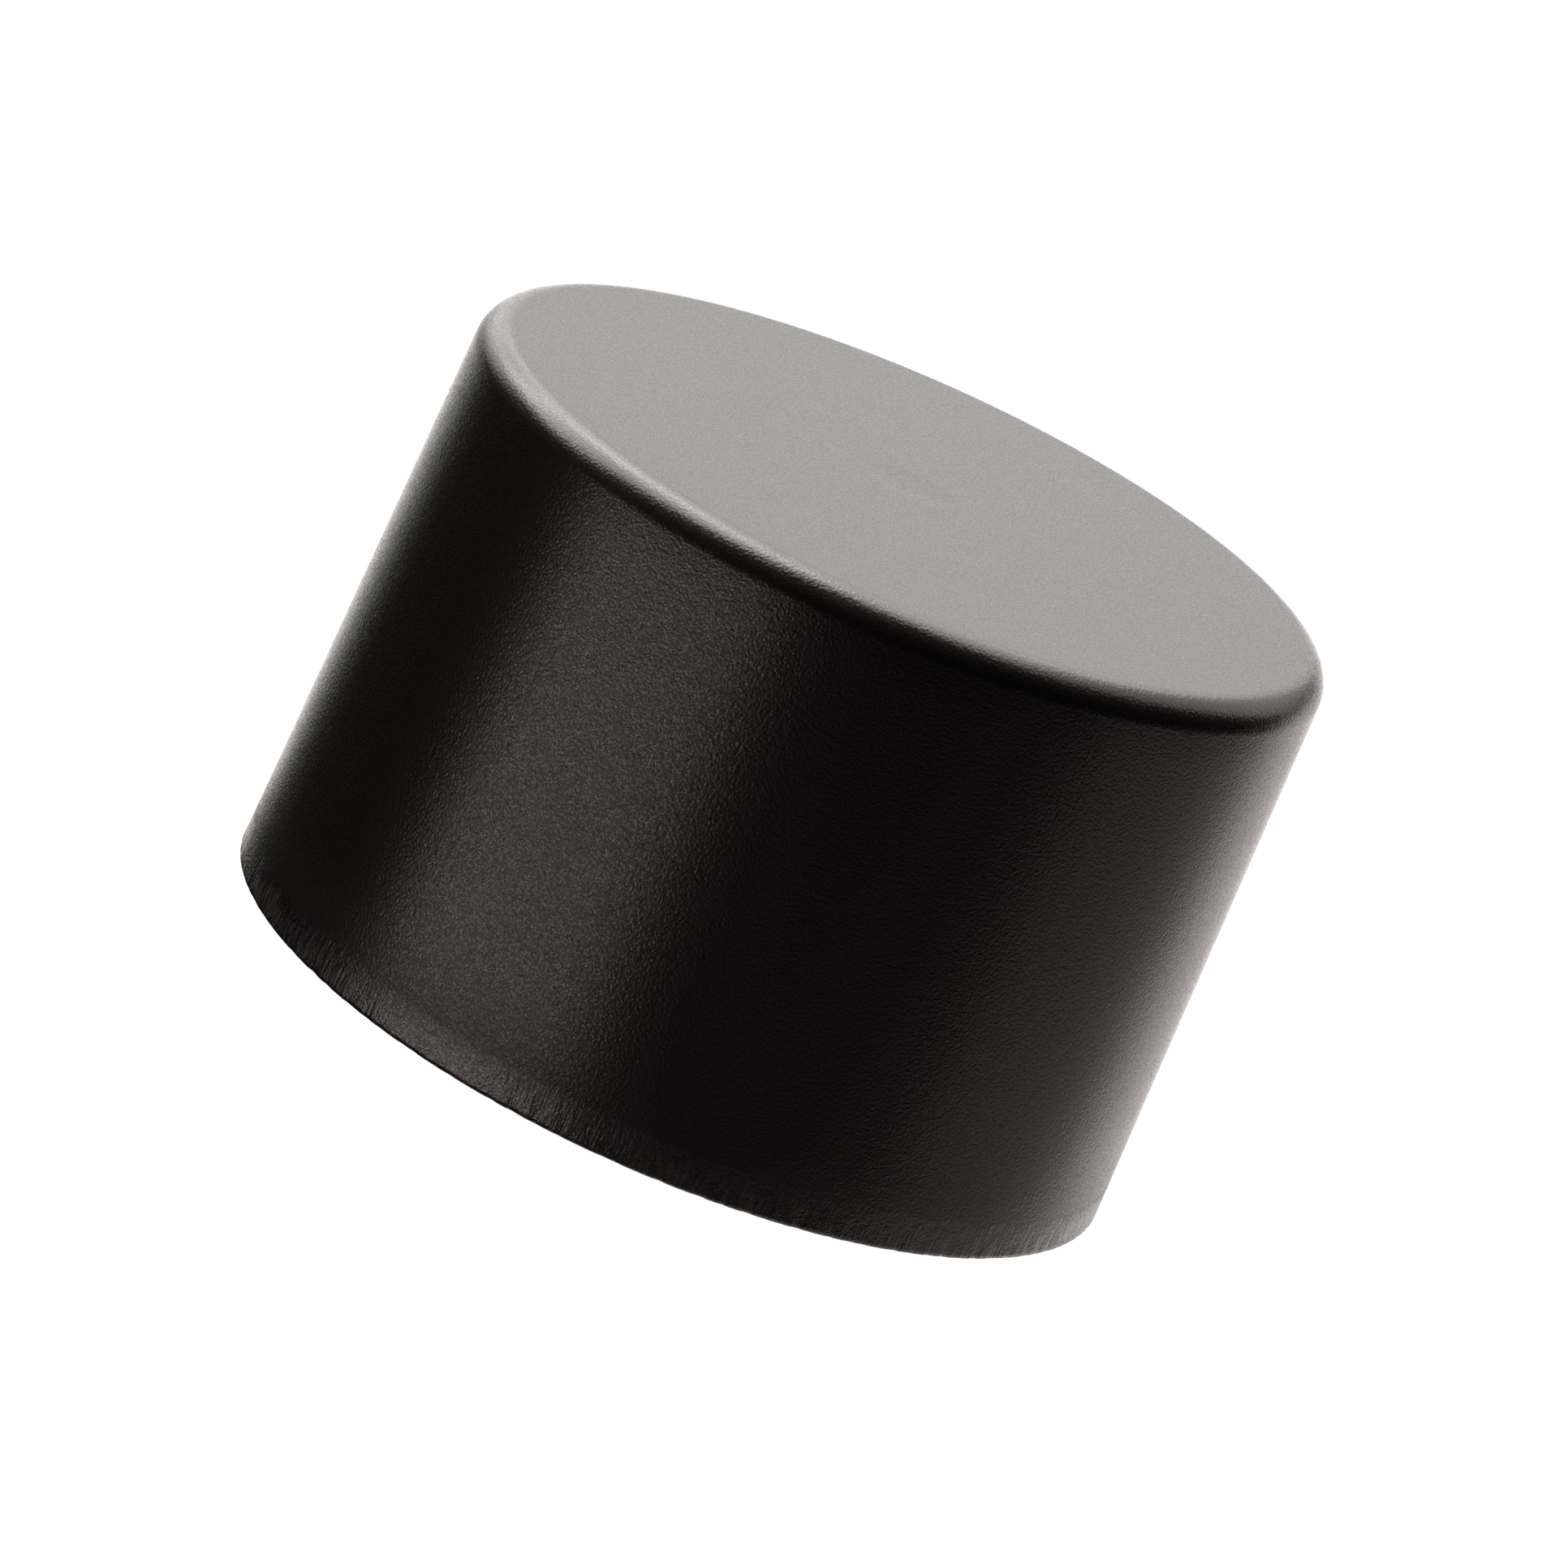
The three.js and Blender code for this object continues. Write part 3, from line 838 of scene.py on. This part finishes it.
def softbox(name, azimuth, elevation, width, height, strength, colour):
    """A rectangular light that faces the button and is equally bright at any size. The azimuth,
    anticlockwise from +X, and the elevation are in degrees."""
    a, e = math.radians(azimuth), math.radians(elevation)
    away = Vector((math.cos(a) * math.cos(e), math.sin(a) * math.cos(e), math.sin(e)))
    data = bpy.data.lights.new(name, "AREA")
    data.shape = "RECTANGLE"
    data.size = width
    data.size_y = height
    data.energy = strength * width * height * math.pi
    data.color = colour
    light = bpy.data.objects.new(name, data)
    light.rotation_mode = "QUATERNION"
    light.rotation_quaternion = away.to_track_quat("Z", "Y")
    light.location = MIDDLE + away * LIGHT_DISTANCE
    light.visible_camera = False
    bpy.context.scene.collection.objects.link(light)


def white_surround():
    """A pale floor well below the button, which floats in the photograph, curved up into walls and a
    ceiling. Only the camera sees it, so it lights nothing."""
    half = STUDIO_HEIGHT / 2
    outline = filleted([
        (0, -half),
        (STUDIO_RADIUS, -half, STUDIO_FILLET),
        (STUDIO_RADIUS, half, STUDIO_FILLET),
        (0, half),
    ], steps=12)
    surround = lathe("white_surround", outline, SURROUND_SEGMENTS)
    m = Nodes("white_surround")
    m.fixed(base_color=(0.9, 0.9, 0.9, 1), roughness=0.9)
    m.fixed(emission_color=(1, 1, 1, 1), emission_strength=1.0)
    surround.data.materials.append(m.material)
    surround.visible_glossy = False
    surround.visible_diffuse = False
    surround.visible_shadow = False


def unlit_world():
    """A black world, so that only the lights light the button."""
    world = bpy.data.worlds.new("studio")
    world.use_nodes = True
    world.node_tree.nodes["Background"].inputs["Strength"].default_value = 0
    bpy.context.scene.world = world


photograph_camera()
white_surround()
unlit_world()

# Each light is a name, an azimuth, an elevation, a width, a height, a strength and a colour.
WARM = (1, 0.86, 0.84)
CREAM = (1, 0.905, 0.868)
SOFT_WHITE = (1, 0.985, 0.957)
WHITE = (1, 0.995, 0.97)
softbox("overhead_key", 152, 52, 0.88, 1.13, 5.5, SOFT_WHITE)
softbox("overhead_middle", 99, 65, 0.84, 1.16, 3.1, SOFT_WHITE)
softbox("overhead_wide", 72, 51, 1.41, 1.45, 1.18, SOFT_WHITE)
softbox("back_left", 124, 23, 0.73, 0.68, 1.7, SOFT_WHITE)
softbox("back", 99, 4, 0.9, 0.86, 0.94, WHITE)
softbox("backdrop", 74, -46, 1.46, 2.45, 1.41, CREAM)
softbox("front_left", -136, -17, 1.0, 0.125, 4.0, WARM)
softbox("front_fill", -70, -25, 1.6, 0.5, 0.1, CREAM)
softbox("right_fill", 10, -60, 1.5, 2.3, 0.5, CREAM)
bpy.context.scene.view_settings.view_transform = "Standard"
